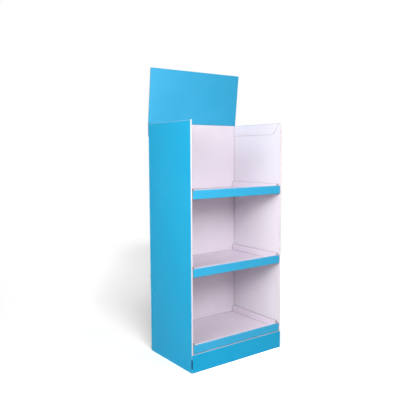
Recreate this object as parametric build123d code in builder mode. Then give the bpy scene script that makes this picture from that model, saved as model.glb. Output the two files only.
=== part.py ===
from build123d import *

import os
from math import cos, radians, sin

# Corrugated board
board = 3.0  # thickness
fold_radius = 2.0  # of the board's middle at a fold
seat = 0.3  # gap between two layers that only lie together
slit = 0.6  # width of a cut between two panels
slot_play = 0.4  # room on each side of a tab in its slot
lap = 2.0  # straight board that a fold shares with its panel

# Body, outside sizes
body_width = 550.0
body_depth = 358.0
body_height = 1135.0
spine_width = 8.5  # front edge of a double side wall
top_flap_height = 54.0
top_flap_setback = 0.5  # behind the fold of the spine
lock_tab_height = 24.0  # on the rear edge of a lining
lock_tab_recess = 0.5

# Plinth
plinth_height = 87.0
ledge_depth = 62.0
glue_flap_width = 40.0
corner_slot_bottom = 20.0
corner_slot_height = 43.0
corner_slot_width = 4.5

# Header card
header_side_gap = 1.0  # narrower than the body on each side
header_height = 264.0  # along the leaning panel
header_lean = 6.4  # degrees forward
header_tongue = 63.0
header_crease_radius = 8.0
header_crease_lift = 1.5  # crease above the top edge of the back
pad_thickness = 1.0
pad_width = 70.0
pad_height = 40.0
pad_spacing = 190.0

# Shelf trays
ledge_gap = 1.0  # between the plinth's ledge and the bottom lip
shelf_pitch = 349.5
floor_below_lip_top = 26.0
side_above_floor = 31.0
roll_width = 13.0  # of a rolled side or lip
tray_side_gap = 0.8  # between a tray and each lining
tray_rear_gap = 1.0
lip_recess = 0.5  # lip's face behind the spines' faces
lip_corner_cut = 9.0  # the rolled top stops this far from each end
lip_end_taper = 2.0
lip_tab_width = 72.0
lip_tab_spacing = 155.0
side_tab_length = 50.0
side_tab_spacing = 170.0
corner_tab_length = 45.0
rear_flange_drop = 15.0

# Shelf bars
bar_diameter = 10.0
bar_wall = 1.0
bar_play = 0.25
front_bar_gap = 2.0  # behind the lip's inner wall

half = board / 2
fold_outer = fold_radius + half
fold_inner = fold_radius - half

# Places along X, for the right-hand side
x_outside = body_width / 2
x_side = x_outside - half
x_lining = x_outside - spine_width + half
x_inside = x_outside - spine_width

# Places along Y: the front of the wall, its back, and the header behind it
overall_depth = body_depth + pad_thickness + board
y_front = -overall_depth / 2
y_back = y_front + body_depth
y_face = y_front + half
y_rear = y_back - half
y_inside = y_back - board
y_fold_end = y_front + fold_outer
y_lining_end = y_inside - seat
y_low_lining = y_front + 2 * board + seat

# Places along Z
plinth_fold = plinth_height - fold_outer
spine_bottom = plinth_fold + slit
lining_top = body_height - board - seat
lip_drop = board + bar_play + bar_diameter + bar_play + board  # of its lower edge, below the floor
lip_height = floor_below_lip_top + lip_drop
bottom_lip_top = plinth_height + ledge_gap + lip_height

# Trays and their bars
shelves = {
    "bottom": bottom_lip_top,
    "middle": bottom_lip_top + shelf_pitch,
    "top": bottom_lip_top + 2 * shelf_pitch,
}
tray_half = x_inside - tray_side_gap
tray_front = y_front + lip_recess
tray_rear = y_inside - tray_rear_gap
lip_tab_places = [-lip_tab_spacing, 0.0, lip_tab_spacing]
bar_places = {
    "front": tray_front + roll_width + front_bar_gap + bar_diameter / 2,
    "rear": tray_rear - fold_outer - bar_play - bar_diameter / 2,
}
bar_below_lip_top = floor_below_lip_top + board + bar_play + bar_diameter / 2


# A strip of board whose middle follows the corners, added to the sketch
def folded(*corners, radius=fold_radius):
    with BuildLine() as middle:
        if len(corners) > 2:
            FilletPolyline(*corners, radius=radius)
        else:
            Line(*corners)
    trace(middle.line, line_width=board)


# A rectangle between two corners, added to the sketch
def between(low, high):
    with Locations(((low[0] + high[0]) / 2, (low[1] + high[1]) / 2)):
        Rectangle(high[0] - low[0], high[1] - low[1])


def make_body_wrap():
    flap_x = x_inside - seat - half
    flap_top = body_height - half
    flap_bottom = body_height - top_flap_height
    flap_front = y_fold_end + lap + top_flap_setback
    flap_rear = y_inside - tray_rear_gap
    ledge_rear = y_face + ledge_depth
    ledge_half = x_inside - seat
    flap_fold_y = y_face + board

    with BuildPart() as body_wrap:
        # Back and outer sides, one U
        with BuildSketch(Plane.XY):
            folded((-x_side, y_fold_end), (-x_side, y_rear), (x_side, y_rear), (x_side, y_fold_end))
        extrude(amount=body_height)

        # The sides stop below their top folds
        with BuildSketch(Plane.XY.offset(body_height - fold_outer)):
            for side in (-1, 1):
                with Locations((side * x_side, (flap_front + flap_rear) / 2)):
                    Rectangle(board, flap_rear - flap_front)
        extrude(amount=fold_outer, mode=Mode.SUBTRACT)

        # Front spines, above the plinth
        with BuildSketch(Plane.XY.offset(spine_bottom)):
            for side in (-1, 1):
                folded(
                    (side * x_side, y_fold_end + lap),
                    (side * x_side, y_face),
                    (side * x_lining, y_face),
                    (side * x_lining, y_fold_end + lap),
                )
        extrude(amount=body_height - spine_bottom)

        # Linings, down to the floor behind the plinth
        with BuildSketch(Plane.XY):
            for side in (-1, 1):
                folded((side * x_lining, y_low_lining), (side * x_lining, y_lining_end))
        extrude(amount=lining_top)
        with BuildSketch(Plane.XY.offset(spine_bottom)):
            for side in (-1, 1):
                folded((side * x_lining, y_fold_end), (side * x_lining, y_low_lining))
        extrude(amount=lining_top - spine_bottom)

        # Slots in the back, and the linings' tabs in them
        levels = [*shelves.values(), body_height]
        lock_heights = [(low + high) / 2 for low, high in zip(levels, levels[1:])]
        lock_places = [(side * x_lining, z) for side in (-1, 1) for z in lock_heights]
        with BuildSketch(Plane.XZ.offset(-y_back)):
            with Locations(*lock_places):
                Rectangle(board + 2 * slot_play, lock_tab_height + 2 * slot_play)
        extrude(amount=board, mode=Mode.SUBTRACT)
        with BuildSketch(Plane.XZ.offset(-(y_back - lock_tab_recess))):
            with Locations(*lock_places):
                Rectangle(board, lock_tab_height)
        extrude(amount=board + seat - lock_tab_recess)

        # Top flaps, folded over the double walls and down inside them
        with BuildSketch(Plane.XZ.offset(-flap_rear)):
            for side in (-1, 1):
                folded(
                    (side * x_side, body_height - fold_outer - lap),
                    (side * x_side, flap_top),
                    (side * flap_x, flap_top),
                    (side * flap_x, flap_bottom),
                )
        extrude(amount=flap_rear - flap_front)
        with BuildSketch(Plane.YZ):
            with BuildLine():
                Polyline(
                    (flap_front, body_height - fold_outer),
                    (flap_front + top_flap_height - fold_outer, flap_bottom),
                    (flap_front, flap_bottom),
                    close=True,
                )
            make_face()
        extrude(amount=flap_x + half + seat / 2, both=True, mode=Mode.SUBTRACT)

        # Plinth front, folded from the left side and glued over a flap of the right side
        with BuildSketch(Plane.XY):
            folded((-x_side, y_fold_end + lap), (-x_side, y_face), (x_outside, y_face))
        extrude(amount=plinth_fold)
        with BuildSketch(Plane.XY):
            between((x_side - half, y_front + board), (x_outside, flap_fold_y + fold_radius))
        extrude(amount=spine_bottom, mode=Mode.SUBTRACT)
        with BuildSketch(Plane.XY):
            folded(
                (x_side, flap_fold_y + fold_radius + lap),
                (x_side, flap_fold_y),
                (x_side - glue_flap_width, flap_fold_y),
            )
        extrude(amount=plinth_fold)

        # Ledge on top of the plinth and the leg inside it
        with BuildSketch(Plane.YZ.offset(-ledge_half)):
            folded(
                (y_face, plinth_height / 2),
                (y_face, plinth_height - half),
                (ledge_rear, plinth_height - half),
                (ledge_rear, 0),
            )
        extrude(amount=2 * ledge_half)

        # Slot through the left front corner fold
        with BuildSketch(Plane.XY.offset(corner_slot_bottom)):
            between((-x_outside, y_front), (-x_outside + corner_slot_width, y_front + corner_slot_width))
        extrude(amount=corner_slot_height, mode=Mode.SUBTRACT)

        # Holes for the shelf bars, in the linings alone
        bar_holes = [(y, z - bar_below_lip_top) for y in bar_places.values() for z in shelves.values()]
        for lining_face in (-x_lining - half, x_lining - half):
            with BuildSketch(Plane.YZ.offset(lining_face)):
                with Locations(*bar_holes):
                    Circle(bar_diameter / 2 + bar_play)
            extrude(amount=board, mode=Mode.SUBTRACT)

    return body_wrap.part


def make_header_card():
    tongue_y = y_back + pad_thickness + half
    crease_z = body_height + header_crease_lift
    top_y = tongue_y - header_height * sin(radians(header_lean))
    top_z = crease_z + header_height * cos(radians(header_lean))

    with BuildPart() as header_card:
        with BuildSketch(Plane.YZ):
            folded(
                (tongue_y, body_height - header_tongue),
                (tongue_y, crease_z),
                (top_y, top_z),
                radius=header_crease_radius,
            )
        extrude(amount=x_outside - header_side_gap, both=True)

    return header_card.part


def make_header_pads():
    pad_z = body_height - header_tongue / 2

    with BuildPart() as header_pads:
        with BuildSketch(Plane.XZ.offset(-(y_back + pad_thickness))):
            with Locations((-pad_spacing, pad_z), (0, pad_z), (pad_spacing, pad_z)):
                Rectangle(pad_width, pad_height)
        extrude(amount=pad_thickness)

    return header_pads.part


def make_tray(lip_top):
    floor_top = lip_top - floor_below_lip_top
    floor_z = floor_top - half
    lip_bottom = lip_top - lip_height
    side_top = floor_top + side_above_floor

    y_fascia = tray_front + half
    y_lip_wall = tray_front + roll_width - half
    y_lip_rear = tray_front + roll_width
    y_lip_middle = (y_fascia + y_lip_wall) / 2
    y_tab_tip = bar_places["front"] + bar_diameter / 2 + bar_play + half
    y_flange = tray_rear - half
    y_side_start = y_lip_rear + seat

    x_wall = tray_half - half
    x_roll = tray_half - roll_width + half
    x_lip_wall = tray_half - board - fold_inner
    x_lip_roll = tray_half - lip_corner_cut

    with BuildPart() as tray:
        # Floor with its rolled sides
        with BuildSketch(Plane.XZ.offset(-tray_rear)):
            folded(
                (-x_roll, floor_top + seat),
                (-x_roll, side_top - half),
                (-x_wall, side_top - half),
                (-x_wall, floor_z),
                (x_wall, floor_z),
                (x_wall, side_top - half),
                (x_roll, side_top - half),
                (x_roll, floor_top + seat),
            )
        extrude(amount=tray_rear - y_side_start)

        # Rear flange, below the floor
        with BuildSketch(Plane.YZ):
            between((y_flange - half - fold_inner, floor_z - half), (tray_rear, floor_z + half))
        extrude(amount=tray_half, both=True, mode=Mode.SUBTRACT)
        with BuildSketch(Plane.YZ):
            folded(
                (y_flange - 2 * board, floor_z),
                (y_flange, floor_z),
                (y_flange, floor_top - rear_flange_drop),
            )
        extrude(amount=x_lip_wall, both=True)

        # Front lip: its inner wall, its rolled top and its outer face
        with BuildSketch(Plane.YZ):
            folded(
                (y_side_start + board, floor_z),
                (y_lip_wall, floor_z),
                (y_lip_wall, lip_top - fold_outer),
            )
        extrude(amount=x_lip_wall, both=True)
        with BuildSketch(Plane.YZ):
            folded(
                (y_lip_wall, lip_top - fold_outer - lap),
                (y_lip_wall, lip_top - half),
                (y_fascia, lip_top - half),
                (y_fascia, lip_top - fold_outer - lap),
            )
        extrude(amount=x_lip_roll, both=True)
        with BuildSketch(Plane.XZ.offset(-(tray_front + board))):
            with BuildLine():
                Polyline(
                    (-tray_half + lip_end_taper, lip_bottom),
                    (-tray_half, lip_top - fold_outer),
                    (tray_half, lip_top - fold_outer),
                    (tray_half - lip_end_taper, lip_bottom),
                    close=True,
                )
            make_face()
        extrude(amount=board)

        # Tabs from the lip's lower edge, under the bar and up into slots of the floor
        tab_planes = [Plane.YZ.offset(x_tab) for x_tab in lip_tab_places]
        tab_tips = [(x_tab, y_tab_tip) for x_tab in lip_tab_places]
        with BuildSketch(*tab_planes):
            between((tray_front, lip_bottom), (tray_front + board, lip_bottom + fold_outer))
        extrude(amount=lip_tab_width / 2 + slot_play, both=True, mode=Mode.SUBTRACT)
        with BuildSketch(*tab_planes):
            folded(
                (y_fascia, lip_bottom + fold_outer + lap),
                (y_fascia, lip_bottom + half),
                (y_tab_tip, lip_bottom + half),
                (y_tab_tip, floor_top - slot_play),
            )
        extrude(amount=lip_tab_width / 2, both=True)
        with BuildSketch(Plane.XY.offset(floor_top - board)):
            with Locations(*tab_tips):
                Rectangle(lip_tab_width + 2 * slot_play, board + 2 * slot_play)
                Rectangle(lip_tab_width, board, mode=Mode.SUBTRACT)
        extrude(amount=board, mode=Mode.SUBTRACT)
        with BuildSketch(Plane.XY.offset(floor_top)):
            with Locations(*tab_tips):
                Rectangle(lip_tab_width, board)
        extrude(amount=-slot_play, mode=Mode.SUBTRACT)

        # Tabs of the rolled sides, through the floor
        side_middle = (y_side_start + tray_rear) / 2
        side_tab_ys = [side_middle - side_tab_spacing / 2, side_middle + side_tab_spacing / 2]
        side_tab_places = [(side * x_roll, y) for side in (-1, 1) for y in side_tab_ys]
        with BuildSketch(Plane.XY.offset(floor_top - board)):
            with Locations(*side_tab_places):
                Rectangle(board + 2 * slot_play, side_tab_length + 2 * slot_play)
        extrude(amount=board, mode=Mode.SUBTRACT)
        with BuildSketch(Plane.XY.offset(floor_top - board)):
            with Locations(*side_tab_places):
                Rectangle(board, side_tab_length)
        extrude(amount=board + seat)

        # Corner tabs, from the rolled sides into the hollow lip
        with BuildSketch(Plane.XY.offset(floor_top + seat)):
            for side in (-1, 1):
                folded(
                    (side * x_wall, y_side_start),
                    (side * x_wall, y_lip_middle),
                    (side * (x_wall - corner_tab_length), y_lip_middle),
                )
        extrude(amount=floor_below_lip_top - board - 2 * seat)

    return tray.part


def make_bar(y, z):
    bar_half = x_outside - board - bar_play

    with BuildPart() as bar:
        with BuildSketch(Plane.YZ):
            with Locations((y, z)):
                Circle(bar_diameter / 2)
                Circle(bar_diameter / 2 - bar_wall, mode=Mode.SUBTRACT)
        extrude(amount=bar_half, both=True)

    return bar.part


pieces = {
    "body_wrap": make_body_wrap(),
    "header_card": make_header_card(),
    "header_pads": make_header_pads(),
}
for level, lip_top in shelves.items():
    pieces[f"{level}_tray"] = make_tray(lip_top)
    for place, y in bar_places.items():
        pieces[f"{level}_{place}_bar"] = make_bar(y, lip_top - bar_below_lip_top)

os.makedirs("parts", exist_ok=True)
for name, piece in pieces.items():
    piece.label = name
    export_step(piece, f"parts/{name}.step")
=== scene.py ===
import math

import bmesh
import bpy
from mathutils import Matrix, Vector
from mathutils.bvhtree import BVHTree


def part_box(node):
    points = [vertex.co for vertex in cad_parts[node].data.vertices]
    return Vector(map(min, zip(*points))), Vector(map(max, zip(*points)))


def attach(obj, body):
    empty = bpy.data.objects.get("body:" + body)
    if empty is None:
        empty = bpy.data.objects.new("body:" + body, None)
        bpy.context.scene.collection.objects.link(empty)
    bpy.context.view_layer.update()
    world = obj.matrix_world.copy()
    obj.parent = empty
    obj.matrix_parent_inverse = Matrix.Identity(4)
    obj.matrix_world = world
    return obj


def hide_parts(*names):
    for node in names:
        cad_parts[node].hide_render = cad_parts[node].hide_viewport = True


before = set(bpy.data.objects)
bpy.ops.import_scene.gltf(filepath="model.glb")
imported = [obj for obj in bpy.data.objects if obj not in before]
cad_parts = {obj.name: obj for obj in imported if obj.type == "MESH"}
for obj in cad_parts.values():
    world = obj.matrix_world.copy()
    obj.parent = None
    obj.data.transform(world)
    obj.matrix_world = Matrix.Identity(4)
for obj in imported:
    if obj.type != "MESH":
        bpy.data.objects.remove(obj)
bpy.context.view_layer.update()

print("display stand: frame loaded,", len(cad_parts), "nodes")

board = {"thickness": 0.003, "flutePitch": 0.0063}


# A value that is a socket gets a link, any other is set on the input
def addNode(tree, kind, inputs=None, **settings):
    node = tree.nodes.new(kind)
    for name, value in settings.items():
        setattr(node, name, value)
    for name, value in (inputs or {}).items():
        if hasattr(value, "links"):
            tree.links.new(value, node.inputs[name])
        else:
            node.inputs[name].default_value = value
    return node


def mathNode(tree, operation, a, b=0.0):
    return addNode(tree, "ShaderNodeMath", {0: a, 1: b}, operation=operation).outputs[0]


def mixColours(tree, factor, a, b, blend="MIX"):
    node = addNode(tree, "ShaderNodeMix", data_type="RGBA", blend_type=blend)
    for socket, value in ((node.inputs[0], factor), (node.inputs[6], a), (node.inputs[7], b)):
        if hasattr(value, "links"):
            tree.links.new(value, socket)
        else:
            socket.default_value = value
    return node.outputs[2]


def noiseBetween(tree, place, scale, low, high, detail=2.0):
    noise = addNode(tree, "ShaderNodeTexNoise", {"Vector": place, "Scale": scale, "Detail": detail})
    spread = addNode(tree, "ShaderNodeMapRange", {0: noise.outputs[0], 1: 0.3, 2: 0.7, 3: low, 4: high})
    return spread.outputs[0]


def newMaterial(name, roughness):
    material = bpy.data.materials.new(name)
    material.use_nodes = True
    tree = material.node_tree
    shader = tree.nodes["Principled BSDF"]
    shader.inputs["Roughness"].default_value = roughness
    return material, tree, shader


def rgba(colour):
    return (*colour, 1.0)


coatedPrint = {
    "crack": (0.70, 0.76, 0.83),   # paper that shows along a crease
    "crackScale": 420.0,
    "crackDetail": 5.0,
    "crackMost": 0.45,
    "inkPatch": 5.0,               # scale of the patches with less ink
    "rearFold": 0.1742,            # where the side's flat part turns into the rear fold
    "rearBare": 0.0026,            # bare strip beside that fold, this wide at the foot
    "rearBareTop": 1.1355,         # and gone at this height
    "footBare": 0.0009,
    "upright": {
        "ink": (0.010, 0.372, 0.642),
        "inkThin": (0.014, 0.390, 0.660),  # where less ink lies
        "roughness": 0.30,
        "specular": 0.09,
        "grain": 900.0,
        "washboard": 0.05,
    },
    "card": {
        "ink": (0.034, 0.378, 0.645),
        "inkThin": (0.042, 0.394, 0.662),
        "roughness": 0.36,
        "specular": 0.20,
        "grain": 900.0,
        "washboard": 0.05,
    },
    "tray": {
        "ink": (0.030, 0.384, 0.652),
        "inkThin": (0.038, 0.398, 0.667),
        "roughness": 0.36,
        "specular": 0.20,
        "grain": 900.0,
        "washboard": 0.05,
    },
}
coatedWhite = {
    "paper": (0.845, 0.808, 0.866),
    "paperShade": (0.822, 0.785, 0.844),
    "roughness": 0.42,
    "specular": 0.40,
    "grain": 700.0,
    "washboard": 0.05,
}
trayWhite = {
    **coatedWhite,
    "paper": (0.850, 0.772, 0.868),
    "paperShade": (0.827, 0.750, 0.846),
}
creasedWhiteAndShade = {   # darker pinkish paper: along the spines' folds partly crushed paper and partly painted shade of the fold, along the plinth's corner worn paper
    **coatedWhite,
    "paper": (0.720, 0.640, 0.675),
    "paperShade": (0.610, 0.520, 0.555),
    "patch": 60.0,
}
ledgeShadedWhite = {   # painted shade: paler paper, darkened much more than elsewhere where the bottom tray's lip comes down on it
    **coatedWhite,
    "paper": (0.900, 0.845, 0.865),
    "paperShade": (0.870, 0.800, 0.820),
    "darkest": 0.10,
    "closed": 0.40,
}
innerWhite = {
    "paper": (0.812, 0.747, 0.822),
    "paperShade": (0.787, 0.722, 0.796),
    "roughness": 0.62,
    "specular": 0.30,
    "grain": 500.0,
    "washboard": 0.07,
}
underWhite = {   # the uncoated side of the trays' board
    "paper": (0.585, 0.525, 0.615),
    "paperShade": (0.550, 0.490, 0.580),
    "roughness": 0.75,
    "specular": 0.20,
    "grain": 420.0,
    "washboard": 0.09,
}
paperTouch = {
    "sideTurn": 0.7,          # a face turned this far towards X counts as a side
    "fibre": 0.04,            # height of the fibres, beside the flutes' ripple
    "fibreDetail": 3.0,
    "bumpStrength": 0.35,
    "bumpHeight": 0.0002,
    "glossPatch": 6.0,        # scale of the patches that differ in gloss
    "glossSpread": 0.03,
    "patch": 9.0,             # scale of the patches that differ in whiteness
    "patchDetail": 4.0,
}
creviceShade = {   # painted shade where sheets meet: the paper's colour darkens where other sheets lie close
    "reach": 0.006,
    "closed": 0.25,           # at this openness and under, the paper is at its darkest
    "darkest": 0.62,
    "rays": 6,
}
# The axis along which a side's flutes lie one behind the other, Y or Z
sideAcross = {"upright": 1, "card": 1, "tray": 2}


def paperSurface(name, kind, settings, colour):
    material, tree, shader = newMaterial(name, settings["roughness"])
    shader.inputs["Specular IOR Level"].default_value = settings["specular"]
    where = addNode(tree, "ShaderNodeTexCoord").outputs["Object"]
    facing = addNode(tree, "ShaderNodeNewGeometry").outputs["True Normal"]
    place = addNode(tree, "ShaderNodeSeparateXYZ", {0: where})
    normal = addNode(tree, "ShaderNodeSeparateXYZ", {0: facing})

    # The flutes show faintly through the paper
    turned = mathNode(tree, "ABSOLUTE", normal.outputs[0])
    isSide = mathNode(tree, "GREATER_THAN", turned, paperTouch["sideTurn"])
    onSide = mathNode(tree, "MULTIPLY", place.outputs[sideAcross[kind]], isSide)
    onFront = mathNode(tree, "MULTIPLY", place.outputs[0], mathNode(tree, "SUBTRACT", 1.0, isSide))
    across = mathNode(tree, "ADD", onSide, onFront)
    wave = mathNode(tree, "SINE", mathNode(tree, "MULTIPLY", across, 2 * math.pi / board["flutePitch"]))
    ripple = mathNode(tree, "MULTIPLY", wave, settings["washboard"])
    grain = noiseBetween(tree, where, settings["grain"], -1.0, 1.0, paperTouch["fibreDetail"])
    fibre = mathNode(tree, "MULTIPLY", grain, paperTouch["fibre"])
    bump = addNode(tree, "ShaderNodeBump", {
        "Strength": paperTouch["bumpStrength"],
        "Distance": paperTouch["bumpHeight"],
        "Height": mathNode(tree, "ADD", ripple, fibre),
    })
    tree.links.new(bump.outputs[0], shader.inputs["Normal"])

    # Painted shade: the base colour is darkened where the AO node finds other sheets close by
    crevice = addNode(tree, "ShaderNodeAmbientOcclusion", {"Distance": creviceShade["reach"]},
                      samples=creviceShade["rays"])
    dark = addNode(tree, "ShaderNodeMapRange", {
        0: crevice.outputs["AO"],
        1: settings.get("closed", creviceShade["closed"]),
        2: 1.0,
        3: settings.get("darkest", creviceShade["darkest"]),
        4: 1.0,
    })
    shaded = mixColours(tree, 1.0, colour(tree, where, place), dark.outputs[0], "MULTIPLY")
    tree.links.new(shaded, shader.inputs["Base Color"])

    spread = paperTouch["glossSpread"]
    sheen = noiseBetween(tree, where, paperTouch["glossPatch"],
                         settings["roughness"] - spread, settings["roughness"] + spread)
    tree.links.new(sheen, shader.inputs["Roughness"])
    return material


def inkColour(tree, kind, where):
    patch = noiseBetween(tree, where, coatedPrint["inkPatch"], 0.0, 1.0)
    return mixColours(tree, patch, rgba(coatedPrint[kind]["ink"]), rgba(coatedPrint[kind]["inkThin"]))


def makePrint(name, kind):
    def colour(tree, where, place):
        ink = inkColour(tree, kind, where)
        if kind != "upright":
            return ink
        height = mathNode(tree, "DIVIDE", place.outputs[2], coatedPrint["rearBareTop"])
        wide = mathNode(tree, "MULTIPLY", mathNode(tree, "SUBTRACT", 1.0, height), coatedPrint["rearBare"])
        behind = mathNode(tree, "ADD", place.outputs[1], wide)
        rear = mathNode(tree, "GREATER_THAN", behind, coatedPrint["rearFold"])
        foot = mathNode(tree, "LESS_THAN", place.outputs[2], coatedPrint["footBare"])
        bare = mathNode(tree, "MAXIMUM", rear, foot)
        return mixColours(tree, bare, ink, rgba(coatedWhite["paper"]))

    return paperSurface(name, kind, coatedPrint[kind], colour)


def makeCrease(name, kind):
    def colour(tree, where, place):
        scuff = noiseBetween(tree, where, coatedPrint["crackScale"], 0.0, coatedPrint["crackMost"],
                             coatedPrint["crackDetail"])
        return mixColours(tree, scuff, inkColour(tree, kind, where), rgba(coatedPrint["crack"]))

    return paperSurface(name, kind, coatedPrint[kind], colour)


def makePaper(name, kind, settings):
    def colour(tree, where, place):
        patch = noiseBetween(tree, where, settings.get("patch", paperTouch["patch"]), 0.0, 1.0,
                             paperTouch["patchDetail"])
        return mixColours(tree, patch, rgba(settings["paper"]), rgba(settings["paperShade"]))

    return paperSurface(name, kind, settings, colour)


kraft = {
    "roughness": 0.85,
    "specular": 0.2,
    "detail": 4.0,
    "bumpStrength": 0.4,
    "bumpHeight": 0.0001,
    "linerEdge": {"light": (0.66, 0.52, 0.43), "dark": (0.42, 0.27, 0.19), "grain": 900.0},
    "flutedMedium": {"light": (0.42, 0.29, 0.20), "dark": (0.35, 0.235, 0.16), "grain": 600.0},
    # The crushed edge is partly painted shade: far darker than the fluted paper, for the shade in the gap
    # under each lip
    "crushedBoardAndShade": {"light": (0.19, 0.095, 0.065), "dark": (0.11, 0.050, 0.035), "grain": 500.0},
    # Painted shade: blue like the print but far darker, on the corner slot's cut board, for the shade
    # inside the slot
    "slotPaintedShade": {"light": (0.004, 0.088, 0.290), "dark": (0.003, 0.050, 0.190), "grain": 500.0},
}


def makeKraft(name):
    material, tree, shader = newMaterial(name, kraft["roughness"])
    shader.inputs["Specular IOR Level"].default_value = kraft["specular"]
    where = addNode(tree, "ShaderNodeTexCoord").outputs["Object"]
    fibre = noiseBetween(tree, where, kraft[name]["grain"], 0.0, 1.0, kraft["detail"])
    tree.links.new(mixColours(tree, fibre, rgba(kraft[name]["light"]), rgba(kraft[name]["dark"])),
                   shader.inputs["Base Color"])
    bump = addNode(tree, "ShaderNodeBump", {
        "Strength": kraft["bumpStrength"],
        "Distance": kraft["bumpHeight"],
        "Height": fibre,
    })
    tree.links.new(bump.outputs[0], shader.inputs["Normal"])
    return material


linerEdge = makeKraft("linerEdge")
flutedMedium = makeKraft("flutedMedium")
crushedBoardAndShade = makeKraft("crushedBoardAndShade")
slotPaintedShade = makeKraft("slotPaintedShade")
boardFinishes = {}
for boardKind in ("upright", "card", "tray"):
    outerPaper = trayWhite if boardKind == "tray" else coatedWhite
    innerPaper = underWhite if boardKind == "tray" else innerWhite
    boardFinishes[boardKind] = {
        "print": makePrint(boardKind + "BlueInk", boardKind),
        "crease": makeCrease(boardKind + "CreasedInk", boardKind),
        "coated": makePaper(boardKind + "CoatedWhite", boardKind, outerPaper),
        "creased": makePaper(boardKind + "CreasedWhiteAndShade", boardKind, creasedWhiteAndShade),
        "ledge": makePaper(boardKind + "LedgeShadedWhite", boardKind, ledgeShadedWhite),
        "inner": makePaper(boardKind + "InnerWhite", boardKind, innerPaper),
        "rim": linerEdge,
        "medium": flutedMedium,
        "crushed": crushedBoardAndShade,
        "slot": slotPaintedShade,
    }
print("display stand: board finishes ready")

bodyLow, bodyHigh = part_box("body_wrap")
sheetMesh = {   # the turns are cosines, apart from the two in degrees
    "weld": 1e-6,
    "probeStart": 1e-5,       # a ray through the board starts this far under the face
    "probeReach": 0.02,
    "thicknessPlay": 0.00025,
    "smallestSkin": 1e-4,     # a flat face under this area is a cut that happens to be as deep as the board
    "sameSkin": 0.9,          # neighbours on one skin turn no more than this
    "sameFlat": 0.9999,
    "squareOn": 0.999,        # the face looks straight along an axis
    "flattenDegrees": 0.5,
    "sharpDegrees": 35.0,
    "shadeWeight": 100,
}
edgeCut = {
    "acrossTurn": 0.99,       # a cut that faces this way shows open flutes
    "openDepth": 0.0020,      # how far one sees into them
    "closedDepth": 0.00035,   # dip of an edge that runs along the flutes
    "liner": 0.00036,         # paper that shows on each side of the dip
    "mediumHalf": 0.00013,
    "mediumTop": 0.00012,     # the fluted paper starts this far below the cut
    "mediumSunk": 0.0001,     # and goes this far into the pocket's floor
    "stepsPerFlute": 8,
    "shortestRun": 0.006,
    "runPlay": 0.0002,        # two borders of a run are the board's thickness apart, give or take this
    "endMargin": 0.0007,
    "crushed": 0.0013,        # rounding of a front edge that the cutting die has crushed
    "crushSteps": 3,
    "smallest": 3e-6,         # cut faces under this area stay plain
}
cornerCuts = {
    "slant": 0.5,                    # the top flaps' front corners are cut at a slant
    "slantAbove": 1.08,
    "slotHeights": (0.015, 0.07),    # the slot in the plinth's left front corner
    "slotReach": 0.009,
}


def isBetween(value, limits):
    return limits[0] < value < limits[1]


def cutFinish(centre, normal):
    if min(abs(normal.y), abs(normal.z)) > cornerCuts["slant"] and centre.z > cornerCuts["slantAbove"]:
        return "coated"
    isCorner = max(centre.x - bodyLow.x, centre.y - bodyLow.y) < cornerCuts["slotReach"]
    return "slot" if isCorner and isBetween(centre.z, cornerCuts["slotHeights"]) else "medium"


def skinDepth(solid, face):
    inward = -face.normal
    start = face.calc_center_median() + inward * sheetMesh["probeStart"]
    hit = solid.ray_cast(start, inward, sheetMesh["probeReach"])
    return 1.0 if hit[3] is None else hit[3] + sheetMesh["probeStart"]


# Two boards count too: the plinth's front is glued over its flap
def isBoardThick(depth):
    one = board["thickness"]
    return min(abs(depth - one), abs(depth - 2 * one)) < sheetMesh["thicknessPlay"]


# A list, so that every run walks the faces in the same order
def connectedFaces(seed, allowed):
    found, seen = [seed], {seed}
    for face in found:
        for edge in face.edges:
            for other in edge.link_faces:
                if other not in seen and allowed(face, other):
                    seen.add(other)
                    found.append(other)
    return found


def smoothSkins(skin):
    left, found = set(skin), []

    def goesOn(face, other):
        return other in left and other.normal.dot(face.normal) > sheetMesh["sameSkin"]

    for start in skin:
        if start not in left:
            continue
        part = connectedFaces(start, goesOn)
        left -= set(part)
        if sum(face.calc_area() for face in part) > sheetMesh["smallestSkin"]:
            found.append(part)
    return found


def flatRegions(faces):
    left, regions = set(faces), []
    for start in faces:
        if start not in left:
            continue

        def liesFlat(face, other):
            return other in left and other.normal.dot(start.normal) > sheetMesh["sameFlat"]

        region = connectedFaces(start, liesFlat)
        left -= set(region)
        regions.append(region)
    return regions


def isSquareOn(normal):
    return max(abs(part) for part in normal) > sheetMesh["squareOn"]


def borderLines(region):
    inside, lines = set(region), []
    for face in region:
        for loop in face.loops:
            if all(other in inside for other in loop.edge.link_faces):
                continue
            start, end = loop.vert.co.copy(), loop.link_loop_next.vert.co.copy()
            if (end - start).length > edgeCut["shortestRun"]:
                lines.append((start, end, face.normal.cross(end - start).normalized()))
    return lines


# Stretches where a cut is one board wide, each with its two ends on the board's middle
def straightRuns(region):
    lines, runs = borderLines(region), []
    for index, (start, end, across) in enumerate(lines):
        along = (end - start).normalized()
        for otherStart, otherEnd, otherAcross in lines[index + 1:]:
            gap = (otherStart - start).dot(across)
            if otherAcross.dot(across) > -sheetMesh["squareOn"]:
                continue
            if abs(gap - board["thickness"]) > edgeCut["runPlay"]:
                continue
            spans = sorted([(otherStart - start).dot(along), (otherEnd - start).dot(along)])
            low = max(0.0, spans[0]) + edgeCut["endMargin"]
            high = min((end - start).length, spans[1]) - edgeCut["endMargin"]
            if high - low > edgeCut["shortestRun"]:
                middle = start + across * (gap / 2)
                runs.append((middle + along * low, middle + along * high, across))
    return runs


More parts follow.
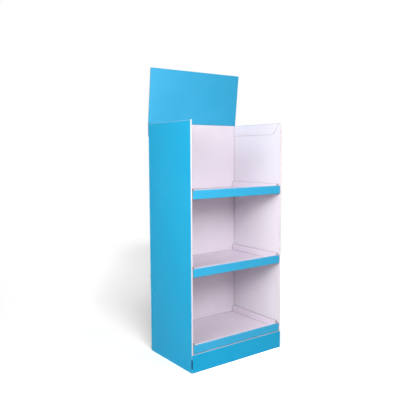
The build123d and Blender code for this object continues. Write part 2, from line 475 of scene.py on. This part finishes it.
def addMedium(sheet, start, end, across, normal, slot):
    along = (end - start).normalized()
    first, last = start.dot(along), end.dot(along)
    pitch = board["flutePitch"]
    reach = board["thickness"] / 2 - edgeCut["liner"] - edgeCut["mediumHalf"]
    count = max(2, int((last - first) / pitch * edgeCut["stepsPerFlute"]))
    top = -normal * edgeCut["mediumTop"]
    bottom = -normal * (edgeCut["openDepth"] + edgeCut["mediumSunk"])
    rows = []
    for step in range(count + 1):
        travel = (last - first) * step / count
        swing = reach * math.sin(2 * math.pi * (first + travel) / pitch)
        middle = start + along * travel + across * swing
        half = across * edgeCut["mediumHalf"]
        corners = (half + top, -half + top, -half + bottom, half + bottom)
        rows.append([sheet.verts.new(middle + shift) for shift in corners])
    flip = along.cross(across).dot(normal) < 0
    faces = [rows[0][::-1], rows[-1]]
    for near, far in zip(rows, rows[1:]):
        for corner in range(4):
            after = (corner + 1) % 4
            faces.append([near[corner], near[after], far[after], far[corner]])
    for corners in faces:
        sheet.faces.new(corners[::-1] if flip else corners).material_index = slot


def finishCutEdges(sheet, slots, isOpenEdge):
    cut = [face for face in sheet.faces if face.material_index == slots["medium"]]
    for region in flatRegions(cut):
        normal, centre = region[0].normal.copy(), region[0].calc_center_median()
        isOpen = isOpenEdge(centre, normal)
        if not isOpen and not isSquareOn(normal) and len(region) == 1:
            continue
        if sum(face.calc_area() for face in region) < edgeCut["smallest"]:
            continue
        runs = straightRuns(region) if isOpen else []
        depth = edgeCut["openDepth"] if isOpen else edgeCut["closedDepth"]
        rims = bmesh.ops.inset_region(sheet, faces=region, thickness=edgeCut["liner"],
                                      use_even_offset=False, use_boundary=True)["faces"]
        for face in rims:
            face.material_index = slots["rim"]
        pocket = bmesh.ops.extrude_face_region(sheet, geom=region)["geom"]
        bottom = [item for item in pocket if isinstance(item, bmesh.types.BMVert)]
        bmesh.ops.translate(sheet, verts=bottom, vec=-normal * depth)
        bmesh.ops.delete(sheet, geom=[face for face in region if face.is_valid], context="FACES_ONLY")
        for start, end, across in runs:
            addMedium(sheet, start, end, across, normal, slots["medium"])


def crushEdges(sheet, slots, isCrushed):
    edges = []
    for edge in sheet.edges:
        finishes = {face.material_index for face in edge.link_faces}
        if finishes == {slots["print"], slots["medium"]} and all(isCrushed(vert.co) for vert in edge.verts):
            edges.append(edge)
    print("display stand: crushing", len(edges), "edges")
    rounded = bmesh.ops.bevel(sheet, geom=edges, offset=edgeCut["crushed"], offset_type="OFFSET",
                              segments=edgeCut["crushSteps"], profile=0.5, affect="EDGES",
                              clamp_overlap=True)
    for face in rounded["faces"]:
        face.material_index = slots["crushed"]
    sheet.normal_update()


# Blender's extrude adds its edges and faces in another order each run
def sortParts(parts):
    order = sorted(parts, key=lambda part: sorted(vert.index for vert in part.verts))
    places = {part: index for index, part in enumerate(order)}
    parts.sort(key=places.get)


# Copies a node's mesh and finishes it; the seed is a face on the sheet's printed side
def boardSheet(node, name, kind, isSeed, frontFinish, backFinish, isOpenEdge, isCrushed=None):
    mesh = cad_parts[node].data.copy()
    mesh.name = name
    mesh.materials.clear()
    finishes = boardFinishes[kind]
    slots = {key: index for index, key in enumerate(finishes)}
    for material in finishes.values():
        mesh.materials.append(material)
    sheet = bmesh.new()
    sheet.from_mesh(mesh)
    bmesh.ops.remove_doubles(sheet, verts=sheet.verts, dist=sheetMesh["weld"])
    sheet.normal_update()
    solid = BVHTree.FromBMesh(sheet)
    skin = [face for face in sheet.faces if isBoardThick(skinDepth(solid, face))]
    skins = smoothSkins(skin)
    seeds = [face for part in skins for face in part if isSeed(face.calc_center_median(), face.normal)]
    seed = max(seeds, key=lambda face: face.calc_area())
    for face in sheet.faces:
        face.material_index = slots[cutFinish(face.calc_center_median(), face.normal)]
    for part in skins:
        finishOf = frontFinish if seed in part else backFinish
        for face in part:
            face.material_index = slots[finishOf(face.calc_center_median(), face.normal)]
    bmesh.ops.dissolve_limit(sheet, angle_limit=math.radians(sheetMesh["flattenDegrees"]),
                             verts=sheet.verts, edges=sheet.edges, delimit={"MATERIAL"})
    if isCrushed:
        crushEdges(sheet, slots, isCrushed)
    finishCutEdges(sheet, slots, isOpenEdge)
    sheet.verts.index_update()
    sortParts(sheet.edges)
    sortParts(sheet.faces)
    sharp = math.radians(sheetMesh["sharpDegrees"])
    for face in sheet.faces:
        face.smooth = True
    for edge in sheet.edges:
        edge.smooth = len(edge.link_faces) == 2 and edge.calc_face_angle() < sharp
    sheet.to_mesh(mesh)
    sheet.free()
    piece = bpy.data.objects.new(name, mesh)
    bpy.context.scene.collection.objects.link(piece)
    evenShade = piece.modifiers.new("evenShade", "WEIGHTED_NORMAL")
    evenShade.keep_sharp = True
    evenShade.weight = sheetMesh["shadeWeight"]
    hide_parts(node)
    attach(piece, "root")
    print("display stand:", name, len(mesh.polygons), "faces")


bodyPrint = {   # the turns are cosines of how far a fold's facets look along an axis
    "seedReach": 0.0001,
    "plinthTop": 0.0872,            # top of the ledge's fold
    "skin": 0.0045,                 # a fold's facets lie this near to its outer face
    "cornerBare": 0.0015,           # bare ends of the plinth's front
    "up": 0.02,                     # facets that look up at all
    "foldTurn": 0.60,               # the print goes this far round a fold
    "sideTopTurn": 0.12,            # the same on the sides' top folds
    "topTurn": 0.85,                # the same on the plinth's top fold
    "cornerCreased": (0.6, 0.8),    # worn white along the plinth's left corner
    "cornerCrease": (0.5, 0.87),    # cracked print on both sides of that
    "frontFold": (0.15, 0.99),      # the spines' folds, in darker paper that is partly painted shade
}


def isBodySeed(centre, normal):
    return normal.x < -sheetMesh["squareOn"] and centre.x < bodyLow.x + bodyPrint["seedReach"]


def plinthCorner(turned):
    if isBetween(turned, bodyPrint["cornerCreased"]):
        return "creased"
    return "crease" if isBetween(turned, bodyPrint["cornerCrease"]) else "print"


def bodyFront(centre, normal):
    turned = abs(normal.x)
    isOutward = normal.x * centre.x > 0
    onSide = abs(centre.x) > bodyHigh.x - bodyPrint["skin"]
    onFront = centre.y < bodyLow.y + bodyPrint["skin"]
    onPlinth = onFront and centre.z < bodyPrint["plinthTop"]
    inPlinth = abs(centre.x) < bodyHigh.x - bodyPrint["cornerBare"]
    if onSide and turned > sheetMesh["squareOn"] and isOutward:
        return "print"
    if onPlinth and normal.y < -sheetMesh["squareOn"] and inPlinth:
        return "print"
    if onPlinth and normal.z > bodyPrint["up"]:
        # The ledge finish carries painted shade under the bottom tray's lip
        return "crease" if normal.y < -bodyPrint["topTurn"] else "ledge"
    if onPlinth and onSide and normal.y < 0 and centre.x < 0:
        return plinthCorner(turned)
    turn = bodyPrint["sideTopTurn"] if normal.z > bodyPrint["up"] else bodyPrint["foldTurn"]
    if onSide and isOutward and turned > turn:
        return "crease"
    return "creased" if onFront and isBetween(turned, bodyPrint["frontFold"]) else "coated"


def innerSide(centre, normal):
    return "inner"


def isAcrossUprightFlutes(centre, normal):
    return abs(normal.z) > edgeCut["acrossTurn"]


boardSheet("body_wrap", "bodyWrap", "upright", isBodySeed, bodyFront, innerSide, isAcrossUprightFlutes)

cardPrint = {"frontTurn": 0.9}   # the panel leans, so it doesn't look straight ahead


def isCardSeed(centre, normal):
    return normal.y < -cardPrint["frontTurn"]


def cardFront(centre, normal):
    return "print"


boardSheet("header_card", "headerCard", "card", isCardSeed, cardFront, innerSide, isAcrossUprightFlutes)

trayPrint = {
    "seedReach": 0.001,
    "lipDepth": 0.0035,               # the lip's outer face and its folds lie in this
    "topTurn": 0.70,                  # the print goes this far round the lip's top fold
    "slope": 0.02,                    # facets that look up, down or back at all
    "underTurn": 0.5,
    "edgesFrom": 0.165,               # the lip's and the flange's lower edges are further out than this
    "lipFeet": (0.088, 0.4375, 0.787),   # heights of the lips' lower edges
    "footDepth": 0.0012,
    "footPlay": 0.0002,
}


def isTraySeed(centre, normal):
    return normal.y < -sheetMesh["squareOn"] and centre.y < bodyLow.y + trayPrint["seedReach"]


def trayFront(centre, normal):
    if centre.y >= bodyLow.y + trayPrint["lipDepth"]:
        return "coated"
    if normal.y < -sheetMesh["squareOn"]:
        return "print"
    if normal.z > trayPrint["slope"] and normal.y < -trayPrint["topTurn"]:
        return "crease"
    if normal.z < -trayPrint["slope"] and normal.y < trayPrint["slope"]:
        return "print"
    return "coated"


def trayBack(centre, normal):
    return "inner" if normal.z < -trayPrint["underTurn"] else "coated"


def isAcrossTrayFlutes(centre, normal):
    if abs(normal.y) > edgeCut["acrossTurn"]:
        return True
    return abs(normal.z) > edgeCut["acrossTurn"] and abs(centre.y) > trayPrint["edgesFrom"]


def isLipFoot(place):
    nearest = min(abs(place.z - foot) for foot in trayPrint["lipFeet"])
    return place.y < bodyLow.y + trayPrint["footDepth"] and nearest < trayPrint["footPlay"]


for level in ("bottom", "middle", "top"):
    boardSheet(level + "_tray", level + "Tray", "tray", isTraySeed, trayFront, trayBack,
               isAcrossTrayFlutes, isLipFoot)

tubeZinc = {
    "colour": (0.62, 0.63, 0.65),
    "dull": (0.47, 0.48, 0.50),
    "spangle": 160.0,
    "spangleDetail": 3.0,
    "roughness": 0.32,
    "smoothest": 0.26,
    "roughest": 0.42,
    "patch": 40.0,
}
padFoam = {
    "colour": (0.82, 0.81, 0.78),
    "shade": (0.70, 0.69, 0.66),
    "roughness": 0.9,
    "cells": 1400.0,
    "bumpStrength": 0.5,
    "bumpHeight": 0.0002,
}


def makeZinc():
    material, tree, shader = newMaterial("tubeZinc", tubeZinc["roughness"])
    shader.inputs["Metallic"].default_value = 1.0
    where = addNode(tree, "ShaderNodeTexCoord").outputs["Object"]
    spangle = noiseBetween(tree, where, tubeZinc["spangle"], 0.0, 1.0, tubeZinc["spangleDetail"])
    tree.links.new(mixColours(tree, spangle, rgba(tubeZinc["colour"]), rgba(tubeZinc["dull"])),
                   shader.inputs["Base Color"])
    patch = noiseBetween(tree, where, tubeZinc["patch"], tubeZinc["smoothest"], tubeZinc["roughest"])
    tree.links.new(patch, shader.inputs["Roughness"])
    return material


def makeFoam():
    material, tree, shader = newMaterial("padFoam", padFoam["roughness"])
    where = addNode(tree, "ShaderNodeTexCoord").outputs["Object"]
    cells = noiseBetween(tree, where, padFoam["cells"], 0.0, 1.0)
    tree.links.new(mixColours(tree, cells, rgba(padFoam["colour"]), rgba(padFoam["shade"])),
                   shader.inputs["Base Color"])
    bump = addNode(tree, "ShaderNodeBump", {
        "Strength": padFoam["bumpStrength"],
        "Distance": padFoam["bumpHeight"],
        "Height": cells,
    })
    tree.links.new(bump.outputs[0], shader.inputs["Normal"])
    return material


# The tubes and the pads keep their shape
zinc, foam = makeZinc(), makeFoam()
for nodeName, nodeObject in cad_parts.items():
    if nodeName.endswith("_bar"):
        nodeObject.material_slots[0].material = zinc
    elif nodeName == "header_pads":
        nodeObject.material_slots[0].material = foam
print("display stand: tubes and pads finished")

studio = {
    "floorReach": 20.0,
    "floorColour": (0.82, 0.82, 0.82),
    "floorRoughness": 0.9,
    "floorFibre": 60.0,
    "floorDarkest": 0.99,
    "ambient": 0.01,
    "awayFrom": (0.585, 0.806, 0.0),   # the way the light falls off over the floor
    "gain": (1.23, 0.84, 2.16),        # makes up for that, so that the bare floor reads white throughout
    "rightGain": 1.5,                  # painted light: the floor is brightened to plain white to the right of the stand, over the shadow the lamps cast there
    "rightEdge": (-0.2, 0.35),         # this gain sets in between these places
    # Painted light: the floor left of the stand is brightened a little, which washes out the blue light
    # bounced near the foot
    "leftGain": 1.10,
    "leftEdge": (-0.65, -1.0),
    "middle": (1.0, -0.3),             # the floor shows real light and shadow round this place,
    "halfWidths": (2.2, 1.1),          # both given along the fall of the light and across it,
    "fade": (0.8, 1.25),               # and fades to plain white at these parts of the half widths
}
softbox = {"aimHeight": 0.75, "size": (1.1, 0.8)}
lamps = {
    "rightSoftbox": {**softbox, "place": (0.5435, -2.0284, 1.35), "power": 11.2},
    "frontSoftbox": {**softbox, "place": (-0.8875, -1.9032, 1.65), "power": 32.4},
    "leftSoftbox": {**softbox, "place": (-1.9032, -0.8875, 1.35), "power": 27.4},
    "sideSoftbox": {**softbox, "place": (-2.092, -0.183, 1.35), "power": 5.6},
}
unmirrored = ("leftSoftbox", "sideSoftbox")   # their glare would hide the header's print from the right
rearLamps = {   # for the sides that the photograph doesn't show; they leave the floor alone
    "rearRight": {"place": (5.1, 2.95, 1.8), "aimHeight": 0.7, "size": (2.0, 2.0), "power": 300.0},
    "behind": {"place": (1.0, 5.6, 2.6), "aimHeight": 0.7, "size": (2.2, 2.0), "power": 200.0},
}


def seenDirectly(tree):
    path = addNode(tree, "ShaderNodeLightPath")
    mirrored = mathNode(tree, "MAXIMUM", path.outputs["Is Glossy Ray"], path.outputs["Is Transmission Ray"])
    return mathNode(tree, "MAXIMUM", path.outputs["Is Camera Ray"], mirrored)


def floorPlace(tree, where):
    along = Vector(studio["awayFrom"])
    across = along.cross(Vector((0, 0, 1)))
    places = []
    for line in (along, across):
        place = addNode(tree, "ShaderNodeVectorMath", {0: where, 1: line}, operation="DOT_PRODUCT")
        places.append(place.outputs["Value"])
    return places


def smoothStep(tree, value, span, low=0.0, high=1.0):
    return addNode(tree, "ShaderNodeMapRange", {0: value, 1: span[0], 2: span[1], 3: low, 4: high},
                   interpolation_type="SMOOTHSTEP").outputs[0]


def floorGain(tree, behind, beside):
    base, slope, power = studio["gain"]
    start = mathNode(tree, "MAXIMUM", mathNode(tree, "ADD", behind, 1.0), 0.0)
    rise = mathNode(tree, "MULTIPLY", mathNode(tree, "POWER", start, power), slope)
    right = smoothStep(tree, beside, studio["rightEdge"], 1.0, studio["rightGain"])
    left = smoothStep(tree, beside, studio["leftEdge"], 1.0, studio["leftGain"])
    edges = mathNode(tree, "MULTIPLY", right, left)
    return mathNode(tree, "MULTIPLY", mathNode(tree, "ADD", rise, base), edges)


def floorFade(tree, behind, beside):
    parts = []
    for place, centre, half in zip((behind, beside), studio["middle"], studio["halfWidths"]):
        part = mathNode(tree, "DIVIDE", mathNode(tree, "SUBTRACT", place, centre), half)
        parts.append(mathNode(tree, "MULTIPLY", part, part))
    away = mathNode(tree, "SQRT", mathNode(tree, "ADD", *parts))
    return smoothStep(tree, away, studio["fade"])


def makeFloor():
    mesh = bpy.data.meshes.new("floorPaper")
    reach = studio["floorReach"]
    corners = [(-reach, -reach, 0), (reach, -reach, 0), (reach, reach, 0), (-reach, reach, 0)]
    mesh.from_pydata(corners, [], [(0, 1, 2, 3)])
    floor = bpy.data.objects.new("floorPaper", mesh)
    bpy.context.scene.collection.objects.link(floor)
    material, tree, shader = newMaterial("paperSweep", studio["floorRoughness"])
    shader.inputs["Specular IOR Level"].default_value = 0.0
    where = addNode(tree, "ShaderNodeTexCoord").outputs["Object"]
    fibre = noiseBetween(tree, where, studio["floorFibre"], studio["floorDarkest"], 1.0)
    paperColour = mixColours(tree, 1.0, rgba(studio["floorColour"]), fibre, "MULTIPLY")
    tree.links.new(paperColour, shader.inputs["Base Color"])
    behind, beside = floorPlace(tree, where)
    gain = floorGain(tree, behind, beside)
    bright = addNode(tree, "ShaderNodeVectorMath", {0: paperColour, "Scale": gain}, operation="SCALE")
    lit = addNode(tree, "ShaderNodeBsdfDiffuse", {"Color": bright.outputs[0]})
    white = addNode(tree, "ShaderNodeEmission", {"Color": rgba((1, 1, 1)), "Strength": 1.0})
    shown = addNode(tree, "ShaderNodeMixShader", {
        0: floorFade(tree, behind, beside),
        1: lit.outputs[0],
        2: white.outputs[0],
    })
    surface = addNode(tree, "ShaderNodeMixShader", {
        0: seenDirectly(tree),
        1: shader.outputs[0],
        2: shown.outputs[0],
    })
    tree.links.new(surface.outputs[0], tree.nodes["Material Output"].inputs["Surface"])
    mesh.materials.append(material)
    return floor


def makeWorld():
    world = bpy.data.worlds.new("studioWhite")
    bpy.context.scene.world = world
    world.use_nodes = True
    tree = world.node_tree
    background = tree.nodes["Background"]
    background.inputs["Color"].default_value = rgba((1, 1, 1))
    background.inputs["Strength"].default_value = studio["ambient"]
    white = addNode(tree, "ShaderNodeBackground", {"Color": rgba((1, 1, 1)), "Strength": 1.0})
    surface = addNode(tree, "ShaderNodeMixShader", {
        0: seenDirectly(tree),
        1: background.outputs[0],
        2: white.outputs[0],
    })
    tree.links.new(surface.outputs[0], tree.nodes["World Output"].inputs["Surface"])


def makeLamp(name, settings):
    lamp = bpy.data.lights.new(name, "AREA")
    lamp.shape = "RECTANGLE"
    lamp.size, lamp.size_y = settings["size"]
    lamp.energy = settings["power"]
    holder = bpy.data.objects.new(name, lamp)
    bpy.context.scene.collection.objects.link(holder)
    holder.location = settings["place"]
    holder.rotation_mode = "QUATERNION"
    aim = Vector((0, 0, settings["aimHeight"])) - Vector(settings["place"])
    holder.rotation_quaternion = aim.to_track_quat("-Z", "Y")
    holder.visible_camera = False
    holder.visible_glossy = name not in unmirrored
    return holder


def keepOffFloor(holder, floor):
    holder.data.cycles.max_bounces = 0
    unlit = bpy.data.collections.new(holder.name + "Unlit")
    unlit.objects.link(floor)
    holder.light_linking.receiver_collection = unlit
    unlit.collection_objects[0].light_linking.link_state = "EXCLUDE"


floorPaper = makeFloor()
makeWorld()
for lampName, lampSettings in lamps.items():
    makeLamp(lampName, lampSettings)
for lampName, lampSettings in rearLamps.items():
    keepOffFloor(makeLamp(lampName, lampSettings), floorPaper)
print("display stand: floor and", len(lamps) + len(rearLamps), "lamps placed")

camera = {   # from the photograph's vanishing lines
    "place": (-1.5755, -2.0379, 0.9948),
    "turn": 36.004,    # degrees to the right of straight ahead
    "down": 5.246,
    "roll": -0.262,
    "lens": 46.956,
    "sensor": 36.0,
    "nearest": 0.05,
    "farthest": 100.0,
}


def makeCamera():
    data = bpy.data.cameras.new("shopCamera")
    data.lens, data.sensor_width = camera["lens"], camera["sensor"]
    data.sensor_fit = "HORIZONTAL"
    data.clip_start, data.clip_end = camera["nearest"], camera["farthest"]
    holder = bpy.data.objects.new("shopCamera", data)
    bpy.context.scene.collection.objects.link(holder)
    turn, down, roll = (math.radians(camera[key]) for key in ("turn", "down", "roll"))
    ahead = Vector((math.sin(turn) * math.cos(down), math.cos(turn) * math.cos(down), -math.sin(down)))
    level = Vector((math.cos(turn), -math.sin(turn), 0))
    upright = level.cross(ahead)
    right = math.cos(roll) * level + math.sin(roll) * upright
    up = -math.sin(roll) * level + math.cos(roll) * upright
    rotation = Matrix((right, up, -ahead)).transposed().to_4x4()
    holder.matrix_world = Matrix.Translation(camera["place"]) @ rotation
    bpy.context.scene.camera = holder


makeCamera()
bpy.context.scene.view_settings.view_transform = "Standard"
print("display stand: camera set")
